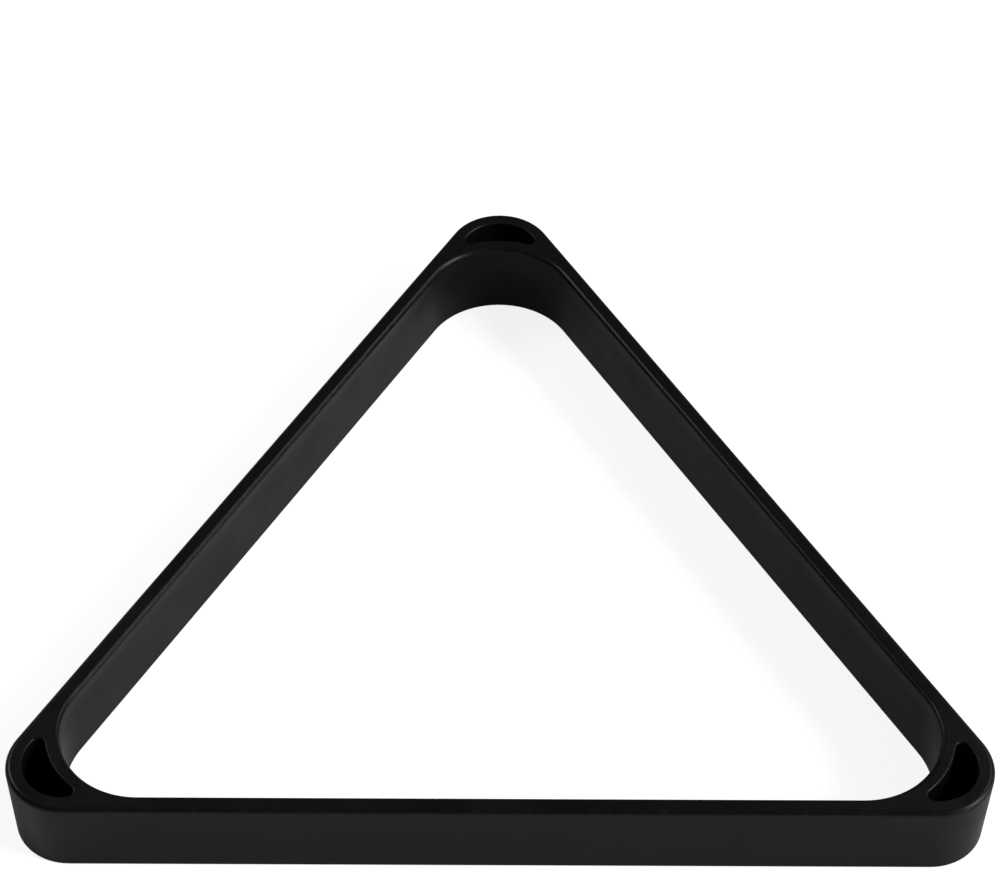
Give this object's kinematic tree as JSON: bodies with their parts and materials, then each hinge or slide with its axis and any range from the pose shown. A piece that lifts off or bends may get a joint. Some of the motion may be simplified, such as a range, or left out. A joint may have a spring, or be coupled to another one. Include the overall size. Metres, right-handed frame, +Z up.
{
  "type": "triangle ball rack",
  "caption": "One-piece moulded triangular frame that gathers billiard balls on a table: straight thin rails, rounded corners, each hollowed by a crescent pocket open at the top.",
  "frame": {"origin": "middle of the overall footprint, on the surface the rack lies on", "axes": "+X along the base rail, +Y towards the apex corner, +Z up"},
  "size_m": [0.3224, 0.2844, 0.0306],
  "materials": {
    "black_plastic": "semi-gloss, as moulded"
  },
  "bodies": {
    "root": {"base_rail": "black_plastic", "left_rail": "black_plastic", "right_rail": "black_plastic", "left_corner": "black_plastic", "right_corner": "black_plastic", "apex_corner": "black_plastic"}
  },
  "joints": []
}
